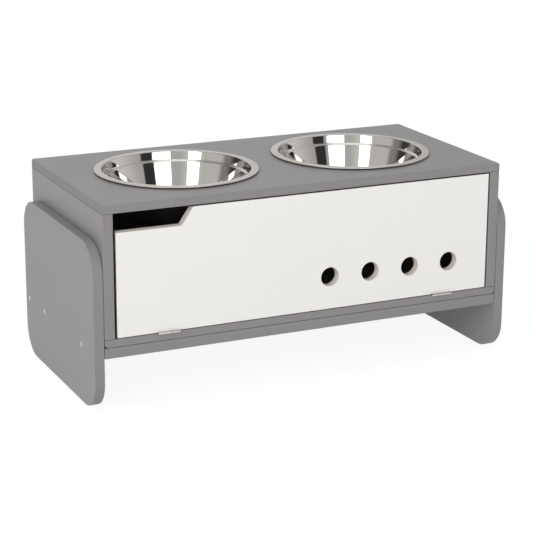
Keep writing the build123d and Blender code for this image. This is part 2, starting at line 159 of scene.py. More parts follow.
def break_edges(piece, radius=EDGE_ROUND):
    """Rounds every sharp edge that a board has so far."""
    apply(piece, "BEVEL", width=radius, segments=EDGE_STEPS, limit_method="ANGLE", angle_limit=SMOOTH_ANGLE)


def shade(piece):
    """Shades a finished mesh smooth over its rounds while its flat faces stay flat."""
    take(piece)
    bpy.ops.object.shade_smooth_by_angle(angle=SMOOTH_ANGLE)
    apply(piece, "WEIGHTED_NORMAL", weight=FLAT_FACE_WEIGHT, keep_sharp=True)


def finish_board(piece, thin_axis):
    """Shades a board, and stores on each face how far it is from being one of the broad faces."""
    shade(piece)
    mark = piece.data.attributes.new("edge", "FLOAT", "FACE")
    for face in piece.data.polygons:
        mark.data[face.index].value = 1 - abs(face.normal[thin_axis])


def linear(hex_code):
    """An sRGB hex colour as linear red, green, blue and alpha."""
    parts = [int(hex_code[i:i + 2], 16) / 255 for i in (1, 3, 5)]
    return [c / 12.92 if c <= 0.04045 else ((c + 0.055) / 1.055) ** 2.4 for c in parts] + [1]


def add_node(tree, kind, settings=None, links=None):
    """Adds a node. Settings are its properties or input values, links the sockets that feed it."""
    node = tree.nodes.new("ShaderNode" + kind)
    for key, value in (settings or {}).items():
        if isinstance(key, str) and hasattr(node, key):
            setattr(node, key, value)
        else:
            node.inputs[key].default_value = value
    for key, socket in (links or {}).items():
        tree.links.new(socket, node.inputs[key])
    return node


def new_material(name, **sockets):
    """A material with its shader's own sockets set; returns it with its tree, shader and place."""
    material = bpy.data.materials.new(name)
    material.use_nodes = True
    tree = material.node_tree
    shader = tree.nodes["Principled BSDF"]
    for key, value in sockets.items():
        shader.inputs[key.replace("_", " ")].default_value = value
    place = add_node(tree, "TexCoord").outputs["Object"]
    return material, tree, shader, place


def sprayed_lacquer(name, colours, roughness):
    """Satin lacquer sprayed on MDF: an even film with a faint orange peel, a slow drift in tone,
    and edges that drink more of it, so that they dry a little darker and rougher."""
    material, tree, shader, place = new_material(name, IOR=LACQUER_IOR)
    cloud = add_node(tree, "TexNoise", {"Scale": 1 / LACQUER_CLOUD, "Detail": 3}, {"Vector": place})
    tone = add_node(tree, "MixRGB", {"Color1": linear(colours["even"]), "Color2": linear(colours["cloud"])},
                    {"Fac": cloud.outputs["Fac"]})
    edge = add_node(tree, "Attribute", {"attribute_name": "edge"})
    fibre = add_node(tree, "TexNoise", {"Scale": 1 / LACQUER_PEEL, "Detail": 4}, {"Vector": place})
    drunk = add_node(tree, "MapRange", {"To Min": EDGE_COVER}, {"Value": fibre.outputs["Fac"]})
    bare = add_node(tree, "Math", {"operation": "MULTIPLY"},
                    {0: edge.outputs["Fac"], 1: drunk.outputs[0]})
    colour = add_node(tree, "MixRGB", {"Color2": linear(colours["edge"])},
                      {"Fac": bare.outputs[0], "Color1": tone.outputs[0]})
    tree.links.new(colour.outputs[0], shader.inputs["Base Color"])
    gloss = add_node(tree, "MapRange", {"To Min": roughness, "To Max": roughness + EDGE_ROUGHER},
                     {"Value": bare.outputs[0]})
    tree.links.new(gloss.outputs[0], shader.inputs["Roughness"])
    peel = add_node(tree, "Bump", {"Strength": 0.5, "Distance": LACQUER_PEEL_HEIGHT},
                    {"Height": fibre.outputs["Fac"]})
    tree.links.new(peel.outputs[0], shader.inputs["Normal"])
    return material


def give(piece, *materials):
    """Fills the object's own material slots, one by one; the last material fills what is left."""
    while len(piece.material_slots) < len(materials):
        piece.data.materials.append(None)
    for k, place in enumerate(piece.material_slots):
        place.link = "OBJECT"
        place.material = materials[min(k, len(materials) - 1)]


def stands_for(piece, node, body):
    """Puts a finished piece in a CAD node's place."""
    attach(piece, body)
    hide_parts(node)


grey = sprayed_lacquer("satin grey lacquer on MDF", GREY_LACQUER, LACQUER_ROUGHNESS)
for hand, side in HANDS.items():
    low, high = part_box("leg_panel_" + hand)
    outer = high.x if side > 0 else low.x
    (low if side > 0 else high).x += side * LEG_GAP
    leg = new_block("leg_board_" + hand, low, high)
    round_edges(leg, LEG_CORNER, LEG_CORNER_STEPS, lambda edge: along(edge, 0))
    break_edges(leg)
    for run in LEG_SCREW_FROM_FRONT:
        at = Vector((outer, low.y + run, LEG_SCREW_HEIGHT))
        screw_hole(leg, at, Vector((side, 0, 0)), LEG_SCREW_HOLE)
    finish_board(leg, 0)
    give(leg, grey)
    stands_for(leg, "leg_panel_" + hand, "stand_and_box")


# Base board. A third board hangs between the legs, 71 mm up, held by three screws at each end,
# and the storage box stands on it, held by two rows of screws from below. The same sprayed MDF.
BASE_SCREW_HOLE = {"shank": 2.1 * MM, "head": 3.7 * MM, "sink": 2.5 * MM, "depth": 14.5 * MM}
BASE_SCREW_FROM_SIDE = 86 * MM
BASE_SCREW_FROM_FRONT = 50 * MM

low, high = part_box("base_board")
base = new_block("base_shelf", low, high)
break_edges(base)
for x in (low.x + BASE_SCREW_FROM_SIDE, (low.x + high.x) / 2, high.x - BASE_SCREW_FROM_SIDE):
    for y in (low.y + BASE_SCREW_FROM_FRONT, high.y - BASE_SCREW_FROM_FRONT):
        screw_hole(base, Vector((x, y, low.z)), Vector((0, 0, -1)), BASE_SCREW_HOLE)
finish_board(base, 2)
give(base, grey)
stands_for(base, "base_board", "stand_and_box")


# Box: bottom, sides and back. The bottom board's two lower end edges have a wider round, which
# leaves a dark notch beside each leg. Shallow mortises in it take the lower hinge leaves.
BOTTOM_END_ROUND = 5 * MM
END_ROUND_STEPS = 8
BOX_GAP_BELOW = 3 * SHADOW_GAP   # between the box and the base board
BOX_GAP_ABOVE = 2 * SHADOW_GAP   # between its bottom and the boards that stand on it
LEAF_THICK = 1 * MM
LEAF_SPACE = 0.5 * MM            # between the two closed leaves, at the pin's height
LEAF_REACH = 10 * MM             # from the front face to a leaf's rear edge
LEAF_PLAY = 0.2 * MM
MERGE_REACH = 0.02 * MM          # points closer than this become one

pin = Vector(next(joint for joint in frame["joints"] if joint["name"] == "door_hinge")["pos_m"])
leaf_face = LEAF_SPACE / 2 + LEAF_THICK


def round_ends(piece, height, radius):
    """Rounds a board's two end edges at one height by a wider radius."""
    round_edges(piece, radius, END_ROUND_STEPS,
                lambda edge: along(edge, 1) and abs(edge.verts[0].co.z - height) < EDGE_ROUND)


def merge_doubles(piece):
    """Merges the points of a mesh that lie in one place, and with them any sliver of a face."""
    edit(piece, "VERT", lambda vertex: True)
    bpy.ops.mesh.remove_doubles(threshold=MERGE_REACH)
    bpy.ops.object.mode_set(mode="OBJECT")


def copy_of(node):
    """A copy of a CAD board's mesh, with its doubled points merged."""
    take(frame["nodes"][node])
    bpy.ops.object.duplicate()
    piece = bpy.context.object
    piece.name = node + "_board"
    merge_doubles(piece)
    return piece


def leaf_mortises(piece, front, bottom, top):
    """Cuts the shallow pockets in which two hinge leaves lie, open at the front and at one face."""
    for hand in HANDS:
        low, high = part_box("hinge_frame_leaf_" + hand)
        near = Vector((low.x - LEAF_PLAY, front - LEAF_REACH, bottom))
        far = Vector((high.x + LEAF_PLAY, front + LEAF_REACH + LEAF_PLAY, top))
        cut_away(piece, new_block("mortise", near, far))


low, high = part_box("bottom_panel")
low.z += BOX_GAP_BELOW
high.z -= BOX_GAP_ABOVE
floor_board = new_block("box_bottom", low, high)
round_ends(floor_board, low.z, BOTTOM_END_ROUND)
break_edges(floor_board)
leaf_mortises(floor_board, low.y, pin.z - leaf_face, high.z + leaf_face)
finish_board(floor_board, 2)
give(floor_board, grey)
stands_for(floor_board, "bottom_panel", "stand_and_box")
for node, thin_axis in (("side_panel_left", 0), ("side_panel_right", 0), ("back_panel", 1)):
    board = copy_of(node)
    finish_board(board, thin_axis)
    give(board, grey)
    stands_for(board, node, "stand_and_box")


# Top board. It lies on the sides and the back, with two sawn cut-outs in which the bowls hang.
TOP_END_ROUND = 3 * MM
CUTOUT_PLAY = 1.5 * MM
CUTOUT_STEPS = 128
SAW_LENGTH = 3                   # in board thicknesses, so that it passes right through
BOWL_WALL = 99.53 * MM           # outer radius of a bowl's wall where it passes through the board

top_low, top_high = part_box("top_panel")
top_low.z += SHADOW_GAP
top = new_block("top_board", top_low, top_high)
round_ends(top, top_high.z, TOP_END_ROUND)
for hand in HANDS:
    low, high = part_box("bowl_" + hand)
    at = Vector(((low.x + high.x) / 2, (low.y + high.y) / 2, top_high.z))
    saw = new_piece("saw", bpy.ops.mesh.primitive_cylinder_add, vertices=CUTOUT_STEPS,
                    radius=BOWL_WALL + CUTOUT_PLAY, depth=SAW_LENGTH * (top_high.z - top_low.z),
                    location=at)
    cut_away(top, saw)
break_edges(top)
finish_board(top, 2)
give(top, grey)
stands_for(top, "top_panel", "stand_and_box")


# Wood screws. Bright zinc plated steel with countersunk heads and cross recesses. The only ones
# in plain sight are three in each leg panel; the rest hold the box together from inside and below.
ZINC = {"bright": "#e6e7e8", "dull": "#cccfd2"}
ZINC_ROUGHNESS = (0.18, 0.34)    # where the plating is clearest and where it is cloudiest
PLATING_CLOUD = 2.5 * MM
PLATING_GRIT = 0.3 * MM
PLATING_GRIT_HEIGHT = 0.01 * MM


def plated_metal(name, colours, roughness, grit=PLATING_GRIT_HEIGHT):
    """A thin bright plating on steel or zinc: cloudy in tone and in gloss, with a fine grit."""
    material, tree, shader, place = new_material(name, Metallic=1)
    cloud = add_node(tree, "TexNoise", {"Scale": 1 / PLATING_CLOUD, "Detail": 3}, {"Vector": place})
    tone = add_node(tree, "MixRGB", {"Color1": linear(colours["bright"]), "Color2": linear(colours["dull"])},
                    {"Fac": cloud.outputs["Fac"]})
    tree.links.new(tone.outputs[0], shader.inputs["Base Color"])
    gloss = add_node(tree, "MapRange", {"To Min": roughness[0], "To Max": roughness[1]},
                     {"Value": cloud.outputs["Fac"]})
    tree.links.new(gloss.outputs[0], shader.inputs["Roughness"])
    grains = add_node(tree, "TexNoise", {"Scale": 1 / PLATING_GRIT, "Detail": 2}, {"Vector": place})
    bump = add_node(tree, "Bump", {"Strength": 0.4, "Distance": grit}, {"Height": grains.outputs["Fac"]})
    tree.links.new(bump.outputs[0], shader.inputs["Normal"])
    return material


zinc = plated_metal("bright zinc plating", ZINC, ZINC_ROUGHNESS)
for node in ("leg_to_base_screws", "leg_to_side_screws", "bottom_panel_screws", "base_board_screws"):
    give(frame["nodes"][node], zinc)


# Cam fittings and dowels. Four bolts hang from the top into the side boards, where die-cast cams
# grip them, and beech dowels keep the top and the back in line. Only the cams' faces show, inside.
DIE_CAST = {"bright": "#b9bbbc", "dull": "#9a9c9e"}
DIE_CAST_ROUGHNESS = (0.38, 0.55)
DIE_CAST_GRAIN_HEIGHT = 0.03 * MM
BEECH = {"light": "#d9b88c", "dark": "#b98d5c"}
BEECH_ROUGHNESS = 0.6
BEECH_FIBRE = 0.6 * MM
BEECH_PORE_DEPTH = 0.1 * MM
BEECH_STRETCH = 0.06             # how much slower the grain changes along the fibres than across
DOWEL_RUNS = {"top_dowels": 2, "back_dowels": 0}


def turned_beech(name, axis):
    """Beech turned to a rod, with the grain along one axis: fine short flecks on a warm tan."""
    material, tree, shader, place = new_material(name, Roughness=BEECH_ROUGHNESS)
    scale = [1 / BEECH_FIBRE] * 3
    scale[axis] *= BEECH_STRETCH
    stretch = add_node(tree, "Mapping", {"Scale": scale}, {"Vector": place})
    fibre = add_node(tree, "TexNoise", {"Scale": 1, "Detail": 3}, {"Vector": stretch.outputs[0]})
    tone = add_node(tree, "MixRGB", {"Color1": linear(BEECH["light"]), "Color2": linear(BEECH["dark"])},
                    {"Fac": fibre.outputs["Fac"]})
    tree.links.new(tone.outputs[0], shader.inputs["Base Color"])
    pores = add_node(tree, "Bump", {"Strength": 0.3, "Distance": BEECH_PORE_DEPTH},
                     {"Height": fibre.outputs["Fac"]})
    tree.links.new(pores.outputs[0], shader.inputs["Normal"])
    return material


die_cast = plated_metal("zinc die casting", DIE_CAST, DIE_CAST_ROUGHNESS, DIE_CAST_GRAIN_HEIGHT)
give(frame["nodes"]["cam_locks"], die_cast)
give(frame["nodes"]["cam_bolts"], zinc)
for node, axis in DOWEL_RUNS.items():
    give(frame["nodes"][node], turned_beech("beech of the " + node.replace("_", " "), axis))


# Door. One 12 mm board, sprayed warm white on its faces, with a finger notch sawn out of its
# upper left corner, a row of four bored holes, and its free edges planed back so that it swings
# clear. The sawn and bored edges are only sealed, so the MDF shows through in a pale beige.
WHITE_LACQUER = {"even": "#edebe7", "cloud": "#efeeea", "edge": "#e7e5e0"}
DOOR_ROUGHNESS = 0.38            # a little glossier than the grey boards
SEALED_MDF = {"light": "#f3ece3", "dark": "#e5dcd1"}
SEALER_ROUGHNESS = 0.62
SEALER_IOR = 1.45
NOTCH_LENGTH = 90 * MM
NOTCH_DEPTH = 22 * MM
NOTCH_SLANT = 15 * MM
HOLE_RADIUS = 13 * MM
DOOR_HOLE_STEPS = 64
HOLE_PITCH = 60 * MM             # hole to hole, and from the last hole to the door's right end
HOLE_COUNT = 4
HOLE_HEIGHT = 44 * MM            # hole centres above the door's lower edge
DOOR_EDGE_ROUND = 0.4 * MM       # crisper than the grey boards' edges
DOOR_END_GAP = {"left": 1.2 * MM, "right": 0.8 * MM}     # added to the gaps that let it swing
DOOR_RISE = 1.4 * MM             # how much closer to the top board it reaches
DOOR_PLANED = 2.3 * MM           # how far its upper edge and its ends are planed back
SAW_OVER = 2 * MM                # how far a saw cut runs past the board
BIT_LENGTH = 2                   # in board thicknesses
BROAD_FACE = 0.5                 # least share of a normal across the board that a sprayed face has
FIBRE = 1.6 * MM                 # real MDF fibre is finer, drawn wider so that it shows
FIBRE_HEIGHT = 0.05 * MM


def sealed_mdf():
    """Sawn MDF under a clear sealer: pale beige, matt, with short fibre flecks."""
    material, tree, shader, place = new_material("sealed MDF edge", IOR=SEALER_IOR,
                                                 Roughness=SEALER_ROUGHNESS)
    fleck = add_node(tree, "TexNoise", {"Scale": 1 / FIBRE, "Detail": 5, "Roughness": 0.7},
                     {"Vector": place})
    colour = add_node(tree, "MixRGB", {"Color1": linear(SEALED_MDF["light"]),
                                       "Color2": linear(SEALED_MDF["dark"])},
                      {"Fac": fleck.outputs["Fac"]})
    tree.links.new(colour.outputs[0], shader.inputs["Base Color"])
    nap = add_node(tree, "Bump", {"Strength": 0.4, "Distance": FIBRE_HEIGHT},
                   {"Height": fleck.outputs["Fac"]})
    tree.links.new(nap.outputs[0], shader.inputs["Normal"])
    return material


def give_faces(piece, slot, wanted):
    """Puts the chosen faces of a piece in one of its material slots."""
    edit(piece, "FACE", wanted)
    piece.active_material_index = slot
    bpy.ops.object.material_slot_assign()
    bpy.ops.object.mode_set(mode="OBJECT")


door_low, door_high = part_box("door_panel")
door_low.x += DOOR_END_GAP["left"]
door_high.x -= DOOR_END_GAP["right"]
notch_floor = door_high.z - NOTCH_DEPTH
door_high.z += DOOR_RISE
door = new_block("door_board", door_low, door_high)
door_middle = (door_low + door_high) / 2
for way in (Vector((0, 0, 1)), Vector((-1, 0, 0)), Vector((1, 0, 0))):     # upper edge, then ends
    edit(door, "VERT", lambda v: v.co.y > door_low.y + SAW_OVER and (v.co - door_middle).dot(way) > 0)
    bpy.ops.transform.translate(value=-DOOR_PLANED * way)
    bpy.ops.object.mode_set(mode="OBJECT")
saw_start = Vector((door_low.x - SAW_OVER, door_low.y - SAW_OVER, notch_floor))
saw_end = Vector((door_low.x - DOOR_END_GAP["left"] + NOTCH_LENGTH, door_high.y + SAW_OVER,
                  door_high.z + SAW_OVER))
notch = new_block("notch", saw_start, saw_end)
edit(notch, "VERT", lambda v: v.co.x > saw_end.x - SAW_OVER and v.co.z > door_high.z)
lean = NOTCH_SLANT * (saw_end.z - notch_floor) / NOTCH_DEPTH
bpy.ops.transform.translate(value=(lean, 0, 0))
bpy.ops.object.mode_set(mode="OBJECT")
cut_away(door, notch)
for i in range(1, HOLE_COUNT + 1):
    at = Vector((door_high.x + DOOR_END_GAP["right"] - i * HOLE_PITCH, (door_low.y + door_high.y) / 2,
                 door_low.z + HOLE_HEIGHT))
    bit = new_piece("bit", bpy.ops.mesh.primitive_cylinder_add, vertices=DOOR_HOLE_STEPS, radius=HOLE_RADIUS,
                    depth=BIT_LENGTH * (door_high.y - door_low.y), location=at,
                    rotation=(math.radians(90), 0, 0))
    cut_away(door, bit)
break_edges(door, DOOR_EDGE_ROUND)
leaf_mortises(door, door_low.y, door_low.z - leaf_face, pin.z + leaf_face)
merge_doubles(door)
finish_board(door, 1)
give(door, sprayed_lacquer("satin warm white lacquer on MDF", WHITE_LACQUER, DOOR_ROUGHNESS), sealed_mdf())
give_faces(door, 1, lambda face: abs(face.normal.y) < BROAD_FACE)
stands_for(door, "door_panel", "door")


# Hinges. Two small butt hinges of nickel plated steel lie in the gap below the door: leaves let
# into the boards, knuckles rolled from the same strip, and a pin through them.
NICKEL = {"bright": "#e4e2de", "dull": "#cdcac4"}
NICKEL_ROUGHNESS = (0.16, 0.3)

nickel = plated_metal("nickel plating", NICKEL, NICKEL_ROUGHNESS)
for hand in HANDS:
    for piece in ("hinge_frame_leaf_", "hinge_door_leaf_", "hinge_pin_"):
        give(frame["nodes"][piece + hand], nickel)
    for piece in ("hinge_frame_screws_", "hinge_door_screws_"):
        give(frame["nodes"][piece + hand], zinc)


# Magnetic catch. A white moulded housing is screwed under the top, with a ferrite magnet between
# two steel pole plates, and a steel strike plate on the door's inner face meets them.
CATCH_PLASTIC = {"light": "#e6e5e1", "dark": "#dddcd7"}
FERRITE = {"light": "#3a3a3c", "dark": "#242426"}
CATCH_STEEL = {"bright": "#c4c6c8", "dull": "#a6a9ac"}
STRIP_ROUGHNESS = (0.25, 0.4)
PLASTIC_ROUGHNESS = 0.45
MOULD_GRAIN = 0.5 * MM           # spark-eroded mould texture
MOULD_GRAIN_HEIGHT = 0.02 * MM
FERRITE_ROUGHNESS = 0.7
FERRITE_GRAIN = 0.4 * MM
FERRITE_GRAIN_HEIGHT = 0.04 * MM


def grained_solid(name, colours, grain, roughness, height):
    """A moulded or sintered solid: two close tones and a bump, both from the same grain."""
    material, tree, shader, place = new_material(name, Roughness=roughness)
    speckle = add_node(tree, "TexNoise", {"Scale": 1 / grain, "Detail": 2}, {"Vector": place})
    tone = add_node(tree, "MixRGB", {"Color1": linear(colours["light"]), "Color2": linear(colours["dark"])},
                    {"Fac": speckle.outputs["Fac"]})
    tree.links.new(tone.outputs[0], shader.inputs["Base Color"])
    bump = add_node(tree, "Bump", {"Strength": 0.4, "Distance": height}, {"Height": speckle.outputs["Fac"]})
    tree.links.new(bump.outputs[0], shader.inputs["Normal"])
    return material


catch_steel = plated_metal("zinc plated strip", CATCH_STEEL, STRIP_ROUGHNESS)
moulded = grained_solid("moulded white ABS", CATCH_PLASTIC, MOULD_GRAIN, PLASTIC_ROUGHNESS,
                        MOULD_GRAIN_HEIGHT)
ferrite = grained_solid("sintered ferrite", FERRITE, FERRITE_GRAIN, FERRITE_ROUGHNESS,
                        FERRITE_GRAIN_HEIGHT)
give(frame["nodes"]["catch_housing"], moulded)
give(frame["nodes"]["catch_magnet"], ferrite)
for node in ("catch_pole_plates", "strike_plate"):
    give(frame["nodes"][node], catch_steel)
for node in ("catch_screws", "strike_screw"):
    give(frame["nodes"][node], zinc)


# Bowls. Each is drawn from one sheet of stainless steel: a flat floor, a tapering wall with a
# small stacking step, and a satin rim folded under at its edge, with a dark slot below. The inside
# is polished to a mirror. The outside is left as it came from the press, in a grey darker than steel
# is, which is painted shade on the outside and under the rim. They lift straight out.
BOWL_SHEET = 0.5                 # these bowl sizes are in mm
BOWL_TURNS = 192
BOWL_FLOOR = -61.2
RIM_INNER = 99.5
BOWL_PROFILE = [                 # (radius, height over the board's top), from the lip inwards
    (102, 0), (110, 1.9), (110, 2.9), (RIM_INNER, 3.2), (96.8, -8), (94.1, -10.7), (77.7, BOWL_FLOOR),
    (0.5, BOWL_FLOOR)]
BOWL_BENDS = [0.55, 0.55, 1.5, 1.5, 1.5, 18]     # bend radius at each inner corner of the profile
WIDE_BEND = 5                    # a bend wider than this gets more steps
RING_REACH = 0.01 * MM           # how far from its ring a point may lie
SMALL_BEND_STEPS = 6
WIDE_BEND_STEPS = 28
# the drawn grey is darker than stainless steel is: painted shade for the bowls' outsides and rim undersides
STEEL = {"mirror": "#cdcac5", "satin": "#c9c3bb", "drawn": "#8b8986"}
MIRROR_ROUGHNESS = (0.03, 0.09)  # where it is clean and where it is smudged
SATIN_ROUGHNESS = (0.24, 0.36)
SATIN_STRETCH = 0.5              # anisotropy: how much longer a highlight is across the lines
DRAWN_ROUGHNESS = 0.38
SMUDGE = 25 * MM
SMUDGE_RANGE = (0.4, 0.8)        # noise values between which a smudge grows from nothing to full
WAVE = 30 * MM                   # slow waviness that deep drawing leaves
WAVE_HEIGHT = 0.05 * MM
TURNING = 0.8 * MM               # real satin lines are nearer 0.1 mm, drawn wider so that they show
TURNING_HEIGHT = 0.01 * MM
ORANGE_PEEL = 1.5 * MM           # coarse grain that drawing raises on the unpolished outside
ORANGE_PEEL_HEIGHT = 0.03 * MM

bowl_low, bowl_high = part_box("bowl_right")
bowl_x = (bowl_low.x + bowl_high.x) / 2


def from_bowl_axis(tree, place):
    """A point's place counted from the axis of the bowl that it belongs to."""
    split = add_node(tree, "SeparateXYZ", links={0: place})
    hand = add_node(tree, "Math", {"operation": "SIGN"}, {0: split.outputs["X"]})
    x = add_node(tree, "Math", {"operation": "MULTIPLY_ADD", 1: -bowl_x},
                 {0: hand.outputs[0], 2: split.outputs["X"]})
    return add_node(tree, "CombineXYZ", links={"X": x.outputs[0], "Y": split.outputs["Y"]}).outputs[0]


def polished_steel():
    """Stainless steel polished to a mirror: sharp reflections that waver slowly with the drawn
    sheet, and faint smudges that soften them in places."""
    material, tree, shader, place = new_material("mirror polished stainless steel", Metallic=1)
    shader.inputs["Base Color"].default_value = linear(STEEL["mirror"])
    smudge = add_node(tree, "TexNoise", {"Scale": 1 / SMUDGE, "Detail": 4}, {"Vector": place})
    gloss = add_node(tree, "MapRange", {"From Min": SMUDGE_RANGE[0], "From Max": SMUDGE_RANGE[1],
                                        "To Min": MIRROR_ROUGHNESS[0], "To Max": MIRROR_ROUGHNESS[1]},
                     {"Value": smudge.outputs["Fac"]})
    tree.links.new(gloss.outputs[0], shader.inputs["Roughness"])
    wave = add_node(tree, "TexNoise", {"Scale": 1 / WAVE, "Detail": 1}, {"Vector": place})
    bump = add_node(tree, "Bump", {"Strength": 1, "Distance": WAVE_HEIGHT}, {"Height": wave.outputs["Fac"]})
    tree.links.new(bump.outputs[0], shader.inputs["Normal"])
    return material


def satin_steel():
    """Stainless steel rubbed in circles on a lathe: fine rings that stretch each highlight
    across them, warmer and duller than the mirror beside it."""
    material, tree, shader, place = new_material("satin turned stainless steel", Metallic=1,
                                                 Anisotropic=SATIN_STRETCH)
    out = from_bowl_axis(tree, place)
    reach = add_node(tree, "VectorMath", {"operation": "LENGTH"}, {0: out})
    rings = add_node(tree, "TexNoise", {"noise_dimensions": "1D", "Scale": 1 / TURNING, "Detail": 3},
                     {"W": reach.outputs["Value"]})
    tone = add_node(tree, "MixRGB", {"Color1": linear(STEEL["satin"]), "Color2": linear(STEEL["mirror"])},
                    {"Fac": rings.outputs["Fac"]})
    tree.links.new(tone.outputs[0], shader.inputs["Base Color"])
    gloss = add_node(tree, "MapRange", {"To Min": SATIN_ROUGHNESS[0], "To Max": SATIN_ROUGHNESS[1]},
                     {"Value": rings.outputs["Fac"]})
    tree.links.new(gloss.outputs[0], shader.inputs["Roughness"])
    around = add_node(tree, "VectorMath", {"operation": "CROSS_PRODUCT", 1: (0, 0, 1)}, {0: out})
    tree.links.new(around.outputs[0], shader.inputs["Tangent"])
    bump = add_node(tree, "Bump", {"Strength": 0.5, "Distance": TURNING_HEIGHT},
                    {"Height": rings.outputs["Fac"]})
    tree.links.new(bump.outputs[0], shader.inputs["Normal"])
    return material


def drawn_steel_with_painted_shade():
    """Stainless steel as the press leaves it, with a coarse, soft grain, in a dull grey darker than steel
    is: painted shade for the bowls' outsides and the undersides of their rims, which lie in shade.
    """
    material, tree, shader, place = new_material("drawn stainless steel darkened as painted shade", Metallic=1,
                                                 Roughness=DRAWN_ROUGHNESS)
    grain = add_node(tree, "TexNoise", {"Scale": 1 / ORANGE_PEEL, "Detail": 3}, {"Vector": place})
    tone = add_node(tree, "MixRGB", {"Color1": linear(STEEL["drawn"]), "Color2": linear(STEEL["satin"])},
                    {"Fac": grain.outputs["Fac"]})
    tree.links.new(tone.outputs[0], shader.inputs["Base Color"])
    bump = add_node(tree, "Bump", {"Strength": 0.5, "Distance": ORANGE_PEEL_HEIGHT},
                    {"Height": grain.outputs["Fac"]})
    tree.links.new(bump.outputs[0], shader.inputs["Normal"])
    return material


def bend(piece, middle, before, corner, after, radius):
    """Rounds the ring of edges at one corner of a turned profile to a bend radius."""
    turn = (Vector(corner) - Vector(before)).angle(Vector(after) - Vector(corner))
    ring_radius, height = corner[0] * MM, middle.z + corner[1] * MM

    def on_ring(edge):
        return all(abs((v.co.xy - middle.xy).length - ring_radius) < RING_REACH
                   and abs(v.co.z - height) < RING_REACH for v in edge.verts)

    steps = WIDE_BEND_STEPS if radius > WIDE_BEND else SMALL_BEND_STEPS
    round_edges(piece, radius * math.tan(turn / 2) * MM, steps, on_ring)


mirror, satin, drawn = polished_steel(), satin_steel(), drawn_steel_with_painted_shade()
for hand in HANDS:
    low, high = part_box("bowl_" + hand)
    middle = Vector(((low.x + high.x) / 2, (low.y + high.y) / 2, top_high.z))
    bowl = new_piece("steel_bowl_" + hand, bpy.ops.mesh.primitive_circle_add, vertices=BOWL_TURNS,
                     radius=BOWL_PROFILE[0][0] * MM, location=middle)
    edit(bowl, "EDGE", lambda edge: True)
    for last, (radius, height) in zip(BOWL_PROFILE, BOWL_PROFILE[1:]):
        bpy.ops.mesh.extrude_region_move(TRANSFORM_OT_translate={"value": (0, 0, (height - last[1]) * MM)})
        shrink = radius / last[0]
        bpy.ops.transform.resize(value=(shrink, shrink, 1), center_override=middle)
    bpy.ops.mesh.edge_face_add()
    bpy.ops.mesh.select_all(action="SELECT")
    bpy.ops.mesh.normals_make_consistent(inside=False)
    bpy.ops.object.mode_set(mode="OBJECT")
    for k, radius in enumerate(BOWL_BENDS):
        before, corner, after = BOWL_PROFILE[k:k + 3]
        bend(bowl, middle, before, corner, after, radius)
    # the backs get the drawn grey, whose extra darkness is painted shade for the outsides and the rim
    # undersides
    give(bowl, mirror, drawn, satin, drawn)      # each side's finish, and then that of its back
    give_faces(bowl, 2, lambda face: (face.calc_center_median().xy - middle.xy).length > RIM_INNER * MM)
    apply(bowl, "SOLIDIFY", thickness=BOWL_SHEET * MM, offset=-1, use_even_offset=True, material_offset=1)
    shade(bowl)
    stands_for(bowl, "bowl_" + hand, "bowl_" + hand)


# Studio. The stand is on a wide sheet of white paper in a plain room, which lights it evenly.
# Two tall soft boxes in front of it and the darker corners beside them are what the polished
# bowls mirror.
FLOOR_SIZE = 12
FLOOR_DROP = 0.1 * MM
PAPER = 0.95                     # share of light that the paper throws back
PAPER_GLOW = 0.9                 # how bright the paper is by itself to the camera and in mirrors
PAPER_SHADE = 0.16               # how much of its shading is left to those, so that the shadow shows

floor = new_piece("studio_floor", bpy.ops.mesh.primitive_plane_add, size=FLOOR_SIZE,
                  location=(0, 0, -FLOOR_DROP))
paper = bpy.data.materials.new("white studio paper")
paper.use_nodes = True
tree = paper.node_tree
tree.nodes.clear()
path = add_node(tree, "LightPath")
seen = add_node(tree, "Math", {"operation": "MAXIMUM"},
                {0: path.outputs["Is Camera Ray"], 1: path.outputs["Is Glossy Ray"]})
seen = add_node(tree, "Math", {"operation": "MAXIMUM"},
                {0: seen.outputs[0], 1: path.outputs["Is Transmission Ray"]})
matt = add_node(tree, "BsdfDiffuse", {"Color": (PAPER, PAPER, PAPER, 1)})
faint = add_node(tree, "BsdfDiffuse", {"Color": (PAPER_SHADE, PAPER_SHADE, PAPER_SHADE, 1)})
glow = add_node(tree, "Emission", {"Strength": PAPER_GLOW})
bright = add_node(tree, "AddShader", links={0: faint.outputs[0], 1: glow.outputs[0]})
either = add_node(tree, "MixShader", links={0: seen.outputs[0], 1: matt.outputs[0], 2: bright.outputs[0]})
add_node(tree, "OutputMaterial", links={0: either.outputs[0]})
give(floor, paper)

# Directions are in degrees from straight in front of the door towards the stand's right end. Each
# soft box: its direction, distance, middle height, width, height, and brightness, where 1 is white.
SOFT_BOXES = {
    "soft box in front": (0, 2.6, 1.565, 1.39, 1.77, 2.05),
    "soft box on the left": (-53.5, 2.6, 1.565, 0.92, 1.77, 3.2),
}
AREA_LAMP_SHARE = 0.25           # a lamp's brightness is this share of its power over its area

for name, (turn, distance, middle, width, height, strength) in SOFT_BOXES.items():
    turn = math.radians(turn)
    lamp = bpy.data.lights.new(name, "AREA")
    lamp.shape = "RECTANGLE"
    lamp.size = width
    lamp.size_y = height
    lamp.energy = strength * width * height / AREA_LAMP_SHARE
    box = bpy.data.objects.new(name, lamp)
    bpy.context.scene.collection.objects.link(box)
    box.location = (distance * math.sin(turn), -distance * math.cos(turn), middle)
    box.rotation_euler = (math.radians(90), 0, turn)
    box.visible_camera = False

